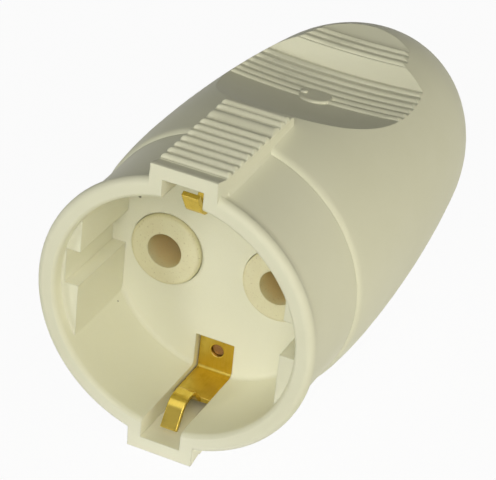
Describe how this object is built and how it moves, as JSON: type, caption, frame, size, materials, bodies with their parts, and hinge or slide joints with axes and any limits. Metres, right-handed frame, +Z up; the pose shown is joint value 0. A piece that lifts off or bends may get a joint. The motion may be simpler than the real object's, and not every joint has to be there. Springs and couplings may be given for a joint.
{
  "type": "in-line earthed socket connector",
  "caption": "In-line earthed two-pin socket with a round plug recess, ribbed clip blocks, egg-shaped handle with grip scoops, ceramic contact base and a cord entry at the tail.",
  "frame": {"origin": "centre of the plug recess at the rim face, on the axis", "axes": "+Y back along the axis from the rim face to the cord entry, +Z up through the upper clip block, +X to the right seen from the plug side"},
  "size_m": [0.0456, 0.0885, 0.049],
  "materials": {
    "ivory_plastic": "moulded, satin",
    "cream_ceramic": "fired, unglazed",
    "inner_plastic": "moulded",
    "brass": "rolled sheet",
    "spring_steel": "hardened",
    "screw_steel": "plated"
  },
  "bodies": {
    "root": {"front_cup": "ivory_plastic", "rear_handle": "ivory_plastic", "ceramic_base": "cream_ceramic", "upper_earth_clip": "brass", "lower_earth_clip": "brass", "housing_screw": "screw_steel", "earth_bridge": "brass", "earth_terminal_washer": "screw_steel", "earth_terminal_screw": "screw_steel", "cord_carrier": "inner_plastic", "cord_clamp_bar": "inner_plastic", "left_pin_contact": "brass", "left_contact_spring": "spring_steel", "left_terminal_screw": "screw_steel", "left_clamp_screw": "screw_steel", "left_carrier_screw": "screw_steel", "right_pin_contact": "brass", "right_contact_spring": "spring_steel", "right_terminal_screw": "screw_steel", "right_clamp_screw": "screw_steel", "right_carrier_screw": "screw_steel", "upper_clip_screw": "screw_steel", "lower_clip_screw": "screw_steel"}
  },
  "joints": []
}
